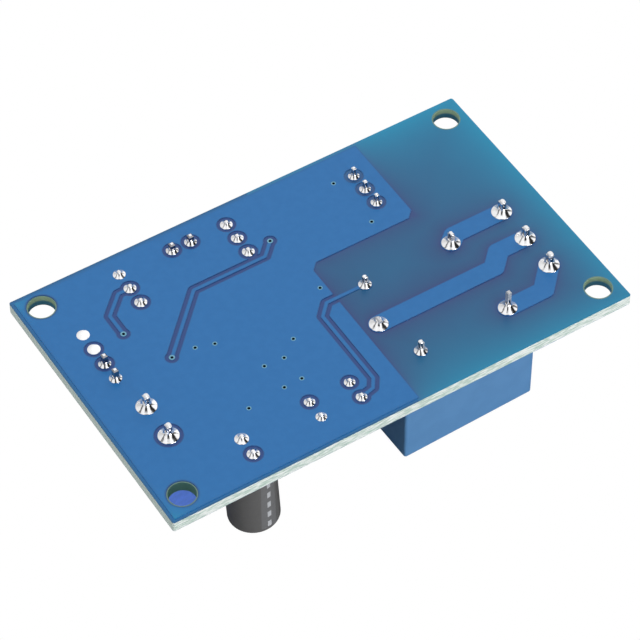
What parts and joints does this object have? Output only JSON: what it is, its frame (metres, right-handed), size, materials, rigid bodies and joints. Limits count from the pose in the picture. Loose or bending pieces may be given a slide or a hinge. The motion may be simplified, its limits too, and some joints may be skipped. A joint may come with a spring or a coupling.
{
  "type": "relay module board",
  "caption": "Blue circuit board with a relay, screw terminals, a capacitor, a trimmer and small parts, lying with its solder side up.",
  "frame": {"origin": "centre of the four mounting holes, on the solder face of the board", "axes": "+X along the board towards the output terminal, +Y across it, +Z out of the solder face"},
  "size_m": [0.0626, 0.0381, 0.0194],
  "materials": {
    "laminate": "blue solder mask over glass laminate",
    "masked_copper": "blue solder mask over copper",
    "plating": "tinned",
    "relay_plastic": "satin",
    "relay_base": "potted",
    "tinned_pin": "tinned",
    "iron": "nickel plated",
    "copper_wire": "enamelled wire",
    "terminal_plastic": "moulded",
    "clamp_brass": "nickel plated",
    "screw_steel": "zinc plated",
    "can_aluminium": "drawn",
    "capacitor_sleeve": "shrunk sleeve",
    "bung_rubber": "moulded",
    "red_lens": "clear tinted epoxy",
    "green_lens": "clear tinted epoxy",
    "black_epoxy": "moulded epoxy",
    "trimmer_plastic": "moulded",
    "brass": "turned",
    "header_plastic": "moulded",
    "chip_resistor": "glazed",
    "chip_capacitor": "ceramic",
    "solder": "bright solder"
  },
  "bodies": {
    "module": {"board_laminate": "laminate", "solder_side_copper": "masked_copper", "component_side_copper": "masked_copper", "via_barrels": "plating", "relay_case": "relay_plastic", "relay_base": "relay_base", "relay_pins": "tinned_pin", "relay_yoke": "iron", "relay_winding": "copper_wire", "output_terminal_housing": "terminal_plastic", "output_terminal_contacts": "tinned_pin", "input_terminal_housing": "terminal_plastic", "input_terminal_contacts": "tinned_pin", "capacitor_can": "can_aluminium", "capacitor_sleeve": "capacitor_sleeve", "capacitor_bung": "bung_rubber", "capacitor_leads": "tinned_pin", "power_led": "red_lens", "relay_led": "green_lens", "led_leads": "tinned_pin", "regulator_body": "black_epoxy", "regulator_leads": "tinned_pin", "transistor_body": "black_epoxy", "transistor_leads": "tinned_pin", "trimmer_body": "trimmer_plastic", "trimmer_pins": "tinned_pin", "sensor_header_block": "header_plastic", "sensor_header_pins": "tinned_pin", "jumper_header_block": "header_plastic", "jumper_header_pins": "tinned_pin", "comparator_body": "black_epoxy", "comparator_leads": "tinned_pin", "chip_resistors": "chip_resistor", "chip_resistor_ends": "plating", "chip_capacitors": "chip_capacitor", "chip_capacitor_ends": "plating", "diode_body": "black_epoxy", "diode_tabs": "tinned_pin", "relay_solder": "solder", "output_terminal_solder": "solder", "input_terminal_solder": "solder", "capacitor_solder": "solder", "led_solder": "solder", "regulator_solder": "solder", "transistor_solder": "solder", "trimmer_solder": "solder", "header_solder": "solder", "spare_hole_solder": "solder"},
    "output_screw_1": {"output_screw_1": "screw_steel"},
    "output_clamp_1": {"output_clamp_1": "clamp_brass"},
    "output_screw_2": {"output_screw_2": "screw_steel"},
    "output_clamp_2": {"output_clamp_2": "clamp_brass"},
    "output_screw_3": {"output_screw_3": "screw_steel"},
    "output_clamp_3": {"output_clamp_3": "clamp_brass"},
    "input_screw_1": {"input_screw_1": "screw_steel"},
    "input_clamp_1": {"input_clamp_1": "clamp_brass"},
    "input_screw_2": {"input_screw_2": "screw_steel"},
    "input_clamp_2": {"input_clamp_2": "clamp_brass"},
    "trimmer_screw": {"trimmer_screw": "brass"}
  },
  "joints": [
    {"name": "output_screw_1_turn", "type": "hinge", "parent": "output_clamp_1", "child": "output_screw_1", "pos_m": [0.02483, -0.00019, -0.011], "axis": [0, 0, 1], "range_deg": [0, 1920]},
    {"name": "output_clamp_1_press", "type": "slide", "parent": "module", "child": "output_clamp_1", "axis": [0, 0, 1], "range_m": [0, 0.0024]},
    {"name": "output_screw_2_turn", "type": "hinge", "parent": "output_clamp_2", "child": "output_screw_2", "pos_m": [0.02483, -0.00519, -0.011], "axis": [0, 0, 1], "range_deg": [0, 1920]},
    {"name": "output_clamp_2_press", "type": "slide", "parent": "module", "child": "output_clamp_2", "axis": [0, 0, 1], "range_m": [0, 0.0024]},
    {"name": "output_screw_3_turn", "type": "hinge", "parent": "output_clamp_3", "child": "output_screw_3", "pos_m": [0.02483, -0.01019, -0.011], "axis": [0, 0, 1], "range_deg": [0, 1920]},
    {"name": "output_clamp_3_press", "type": "slide", "parent": "module", "child": "output_clamp_3", "axis": [0, 0, 1], "range_m": [0, 0.0024]},
    {"name": "input_screw_1_turn", "type": "hinge", "parent": "input_clamp_1", "child": "input_screw_1", "pos_m": [-0.02477, -0.00823, -0.011], "axis": [0, 0, 1], "range_deg": [0, 1920]},
    {"name": "input_clamp_1_press", "type": "slide", "parent": "module", "child": "input_clamp_1", "axis": [0, 0, 1], "range_m": [0, 0.0024]},
    {"name": "input_screw_2_turn", "type": "hinge", "parent": "input_clamp_2", "child": "input_screw_2", "pos_m": [-0.02477, -0.00323, -0.011], "axis": [0, 0, 1], "range_deg": [0, 1920]},
    {"name": "input_clamp_2_press", "type": "slide", "parent": "module", "child": "input_clamp_2", "axis": [0, 0, 1], "range_m": [0, 0.0024]},
    {"name": "trimmer_turn", "type": "hinge", "parent": "module", "child": "trimmer_screw", "pos_m": [0.01373, 0.00884, -0.012], "axis": [0, 0, 1], "continuous": true}
  ],
  "couplings": [
    {"joint": "output_screw_1_turn", "follows": "output_clamp_1_press", "rad_per_m": 13963},
    {"joint": "output_screw_2_turn", "follows": "output_clamp_2_press", "rad_per_m": 13963},
    {"joint": "output_screw_3_turn", "follows": "output_clamp_3_press", "rad_per_m": 13963},
    {"joint": "input_screw_1_turn", "follows": "input_clamp_1_press", "rad_per_m": 13963},
    {"joint": "input_screw_2_turn", "follows": "input_clamp_2_press", "rad_per_m": 13963}
  ]
}
